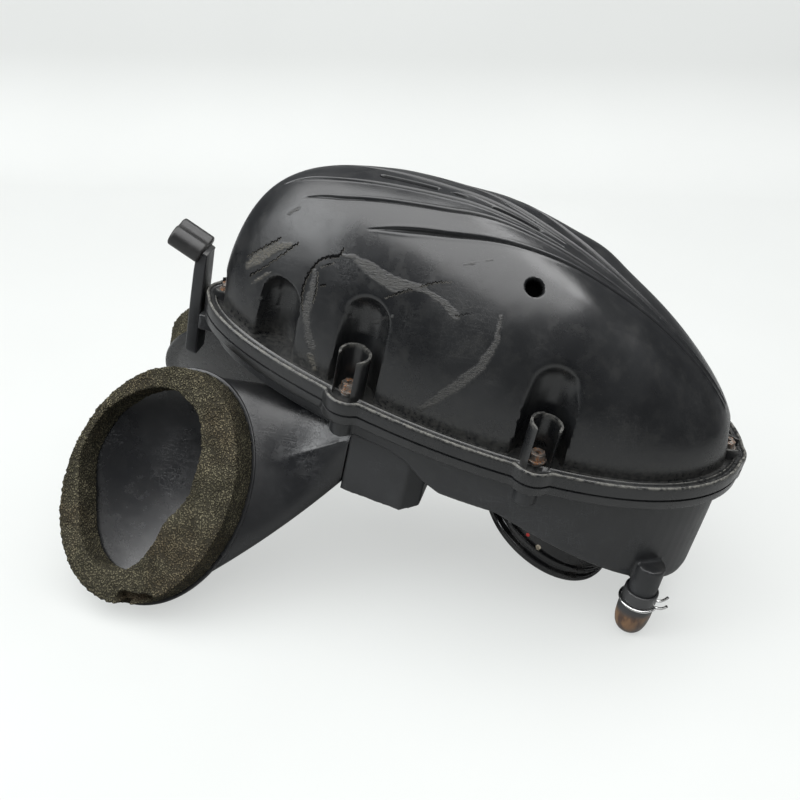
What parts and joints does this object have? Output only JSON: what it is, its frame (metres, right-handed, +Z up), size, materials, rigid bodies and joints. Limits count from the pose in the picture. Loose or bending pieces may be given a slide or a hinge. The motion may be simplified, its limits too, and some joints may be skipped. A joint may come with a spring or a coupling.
{
  "type": "motorcycle airbox",
  "caption": "Motorcycle air filter housing: domed cover on a lower case, side intake ducts with foam seals, inner panel filter, throttle boot and plugged drain.",
  "frame": {"origin": "on the bench, below the middle of the part's bounding box", "axes": "+X towards the tail, +Y towards the right-hand duct, +Z up with the part resting on both duct mouths and the drain plug; the case is tilted nose-up by 10 degrees"},
  "size_m": [0.3696, 0.2404, 0.2328],
  "materials": {
    "cover_plastic": "satin near-black moulded plastic, scuffed",
    "case_plastic": "matte charcoal moulded plastic",
    "foam": "open-cell foam, olive brown, weathered",
    "seal_rubber": "black rubber",
    "filter_plastic": "moulded plastic",
    "filter_paper": "pleated filter paper",
    "gasket_foam": "soft foam rubber",
    "zinc_steel": "zinc plated",
    "boot_rubber": "glossy black rubber",
    "rusty_steel": "rusted steel",
    "brass": "turned brass",
    "stay_plastic": "grey coated steel",
    "plug_rubber": "oily brown rubber",
    "spring_steel": "bright spring wire"
  },
  "bodies": {
    "case": {"lower_case": "case_plastic", "left_intake_duct": "case_plastic", "right_intake_duct": "case_plastic", "left_duct_seal": "foam", "right_duct_seal": "foam", "rim_seal": "seal_rubber", "intake_funnel": "filter_plastic", "funnel_screws": "zinc_steel", "throttle_boot": "boot_rubber", "threaded_inserts": "brass", "front_stay": "stay_plastic", "stay_cushion": "seal_rubber", "stay_screw": "zinc_steel"},
    "cover": {"upper_cover": "cover_plastic", "tower_sleeves": "zinc_steel"},
    "screws": {"cover_screws": "rusty_steel"},
    "filter": {"filter_frame": "filter_plastic", "filter_media": "filter_paper", "filter_gasket": "gasket_foam", "filter_screws": "zinc_steel"},
    "plug": {"drain_plug": "plug_rubber", "drain_clip": "spring_steel"}
  },
  "joints": [
    {"name": "cover_lift", "type": "slide", "parent": "case", "child": "cover", "axis": [0.1736, 0, 0.9848], "range_m": [0, 0.08]},
    {"name": "screw_release", "type": "slide", "parent": "cover", "child": "screws", "axis": [0.1736, 0, 0.9848], "range_m": [0, 0.018]},
    {"name": "filter_lift", "type": "slide", "parent": "case", "child": "filter", "axis": [0.1736, 0, 0.9848], "range_m": [0, 0.03]},
    {"name": "drain_plug_pull", "type": "slide", "parent": "case", "child": "plug", "axis": [-0.1736, 0, -0.9848], "range_m": [0, 0.02]}
  ]
}
